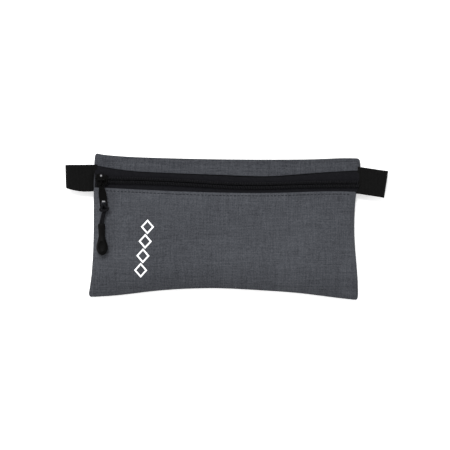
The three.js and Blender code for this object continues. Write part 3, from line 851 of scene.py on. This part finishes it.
def pull_cord(grip):
    path = smooth_path(cord_route())
    curve = bpy.data.curves.new("hitched_cord", "CURVE")
    curve.dimensions = "3D"
    curve.bevel_depth = CORD / 2
    curve.bevel_resolution = 4
    curve.use_fill_caps = True
    spline = curve.splines.new("POLY")
    spline.points.add(len(path) - 1)
    for point, place in zip(spline.points, path):
        point.co = (*place, 1)
    spline.use_smooth = True
    curve.materials.append(cord_cloth)
    made = bpy.data.objects.new("hitched_cord", curve)
    bpy.context.scene.collection.objects.link(made)
    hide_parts("pull_cord")
    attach(made, "cord_pull")


# %% [markdown]
# The grip is one moulding: a waisted neck that takes the cord and a flattened bulb with a thumb dish. A
# profile is spun into a round body and flattened, and the dish with its raised rim is pressed into the top.
# %% Grip
GRIP_PROFILE = [
    (0.0, 2.8), (1.0, 3.35), (2.6, 3.45), (6.5, 3.05), (11.5, 2.9), (15.5, 3.8), (19, 4.95), (21.7, 5.45),
    (24.4, 5.2), (26.8, 4.2), (28.6, 2.8), (29.7, 0.0),
]
GRIP_FLATNESS = 0.6
DISH_DEPTH, RIM_HEIGHT = 1.15, 0.5
GRIP_PLACE = Matrix.Translation(Vector((-4.3, -15.4, 0.2)) * MM) @ Matrix.Rotation(radians(-5.7), 4, "Z")


def moulded_grip():
    bm = bmesh.new()
    start = bm.verts.new((0, 0, 0))
    chain = [start] + [bm.verts.new((radius * MM, -y * MM, 0)) for y, radius in GRIP_PROFILE]
    edges = [bm.edges.new(pair) for pair in zip(chain, chain[1:])]
    bmesh.ops.subdivide_edges(bm, edges=edges, cuts=2)
    bmesh.ops.spin(bm, geom=bm.verts[:] + bm.edges[:], axis=(0, 1, 0), angle=2 * pi, steps=48, use_merge=True)
    bmesh.ops.remove_doubles(bm, verts=bm.verts, dist=0.005 * MM)
    bmesh.ops.recalc_face_normals(bm, faces=bm.faces)
    bmesh.ops.scale(bm, verts=bm.verts, vec=(1, 1, GRIP_FLATNESS))
    bm = refine(bm, 1)
    for vert in bm.verts:
        if vert.co.z > 0:
            reach = sqrt((vert.co.x / (3.1 * MM)) ** 2 + ((vert.co.y + 21 * MM) / (4.6 * MM)) ** 2)
            dish = -DISH_DEPTH * (1 - reach**2) if reach < 1 else 0
            rim = RIM_HEIGHT * exp(-(((reach - 1.12) / 0.13) ** 2))
            vert.co.z += (dish + rim) * MM
    bmesh.ops.transform(bm, matrix=TAB_BAR @ GRIP_PLACE, verts=bm.verts)
    made = piece("moulded_grip", bm, grip_plastic)
    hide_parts("cord_grip")
    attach(made, "cord_pull")
    return made


pull_cord(moulded_grip())

# %% [markdown]
# Each side loop is a length of 25 mm webbing folded on itself. Its section is drawn as a chain of points,
# extruded across the width and given its thickness. The two tails run on into the side seam.
# %% Webbing loops
WEBBING, WEBBING_WIDTH = 1.3 * MM, 25 * MM
LOOP_MIDDLE, LOOP_RADIUS = 20 * MM, 3.6 * MM
TAIL_SINK = 1.7 * MM
TAIL_GAP = 0.72 * MM


def loop_section(tail, steps=14):
    sewn = 5 * MM
    upper = []
    for number in range(steps + 1):
        x = tail + (LOOP_MIDDLE - tail) * number / steps
        t = min(max((x - sewn) / (LOOP_MIDDLE - sewn), 0), 1)
        upper.append((x, TAIL_GAP + (LOOP_RADIUS - TAIL_GAP) * t * t * (3 - 2 * t)))
    turns = [pi * number / 12 for number in range(1, 12)]
    round_end = [(LOOP_MIDDLE + LOOP_RADIUS * sin(turn), LOOP_RADIUS * cos(turn)) for turn in turns]
    lower = [(x, -z) for x, z in reversed(upper)]
    return upper + round_end + lower


def webbing_loop(name, node, joint, turn, skew, pinch=0, rise=0, tail=-5.5 * MM):
    bm = bmesh.new()
    chain = [bm.verts.new((x, -WEBBING_WIDTH / 2, z)) for x, z in loop_section(tail)]
    edges = [bm.edges.new(pair) for pair in zip(chain, chain[1:])]
    made = bmesh.ops.extrude_edge_only(bm, edges=edges)["geom"]
    far_side = [part for part in made if isinstance(part, bmesh.types.BMVert)]
    bmesh.ops.translate(bm, verts=far_side, vec=(0, WEBBING_WIDTH, 0))
    half = WEBBING_WIDTH / 2
    across = [edge for edge in bm.edges if abs(edge.verts[0].co.y - edge.verts[1].co.y) > half]
    bmesh.ops.subdivide_edges(bm, edges=across, cuts=9, use_grid_fill=True)
    for vert in bm.verts:
        vert.co.y += skew * MM * (1 if vert.co.z < 0 else -0.2) * max(vert.co.x, 0) / LOOP_MIDDLE
        vert.co.z += 0.18 * MM * noise.noise(vert.co * 90)
        vert.co.z -= TAIL_SINK * min(max(0.3 - vert.co.x / (3 * MM), 0), 1)
        out = max(vert.co.x, 0) / LOOP_MIDDLE
        vert.co.y -= pinch * MM * out * out * max(vert.co.y / half, 0)
    x, y, z = joints[joint]["pos_m"]
    place = Matrix.Translation((x, y + rise, z)) @ Matrix.Rotation(turn, 4, "Z")
    bmesh.ops.transform(bm, matrix=place, verts=bm.verts)
    bmesh.ops.recalc_face_normals(bm, faces=bm.faces)
    made = piece(name, bm, webbing_cloth)
    thicken(made, WEBBING, 0)
    rounding = made.modifiers.new("rounding", "BEVEL")
    rounding.width = 0.3 * MM
    rounding.segments = 2
    rounding.angle_limit = radians(50)
    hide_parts(node)
    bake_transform(made)


webbing_loop(
    "webbing_left", "left_webbing_loop", "left_loop_flex", pi + radians(2.5), 1.2, 3.2)
webbing_loop(
    "webbing_right", "right_webbing_loop", "right_loop_flex", radians(-8), 0.5, 0, 1.6 * MM,
    -4.5 * MM)

# %% [markdown]
# The seam bindings are inside the bag and only show when its mouth is open. Each is a narrow woven band,
# pressed thin between the two cloths and drawn in from the seam, so that it never shows from outside.
# %% Seam bindings
BINDING_INWARD, BINDING_DROP, BINDING_THICKNESS = 1.6 * MM, 0.2 * MM, 0.25 * MM


def seam_binding(node):
    bm = refine(slab_face([node], 1), 1)
    centre = Vector((0, 2 * MM, 0))
    for vert in bm.verts:
        inward = (centre - Vector((vert.co.x, vert.co.y, 0))).normalized()
        vert.co += inward * BINDING_INWARD
        vert.co.z -= BINDING_DROP
    made = piece(node + "_cloth", bm, binding_cloth)
    thicken(made, BINDING_THICKNESS)
    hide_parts(node)
    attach(made, "bag")


for node in ("left_seam_binding", "right_seam_binding", "bottom_seam_binding"):
    seam_binding(node)

# %% [markdown]
# A plain mark in white ink takes the place of the maker's print: a leaning chain of outlined lozenges. Each
# is two four-sided loops joined by a band, divided finely and laid a hair above the front cloth.
# %% Printed mark
LOZENGES = 4
LOZENGE = (6.2 * MM, 7.0 * MM)
LOZENGE_LINE = 0.68
MARK_START, MARK_STEP = Vector((-71.5, -1.5, 0)), Vector((-1.9, -13.5, 0))
INK = 0.08 * MM


def lozenge(bm, centre):
    outer = bmesh.ops.create_circle(bm, segments=4, radius=1)["verts"]
    inner = bmesh.ops.create_circle(bm, segments=4, radius=LOZENGE_LINE)["verts"]
    bmesh.ops.scale(bm, verts=outer + inner, vec=(*LOZENGE, 1))
    bmesh.ops.translate(bm, verts=outer + inner, vec=centre)
    edges = list({edge for vert in outer + inner for edge in vert.link_edges})
    band = bmesh.ops.bridge_loops(bm, edges=edges)["faces"]
    around = list({edge for face in band for edge in face.edges})
    bmesh.ops.subdivide_edges(bm, edges=around, cuts=5, use_grid_fill=True)


def printed_mark():
    bm = bmesh.new()
    for number in range(LOZENGES):
        lozenge(bm, (MARK_START + MARK_STEP * number) * MM)
    surface = surface_of(front)
    for vert in bm.verts:
        spot = surface.ray_cast(Vector((vert.co.x, vert.co.y, CAST_HEIGHT)), DOWN)[0]
        vert.co.z = spot.z + 0.1 * MM
    bmesh.ops.recalc_face_normals(bm, faces=bm.faces)
    if sum(face.normal.z for face in bm.faces) < 0:
        bmesh.ops.reverse_faces(bm, faces=bm.faces)
    made = piece("printed_mark", bm, white_print)
    thicken(made, INK)
    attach(made, "bag")


printed_mark()

# %% [markdown]
# Last, the view layer is updated.
# %% Update the view layer
bpy.context.view_layer.update()
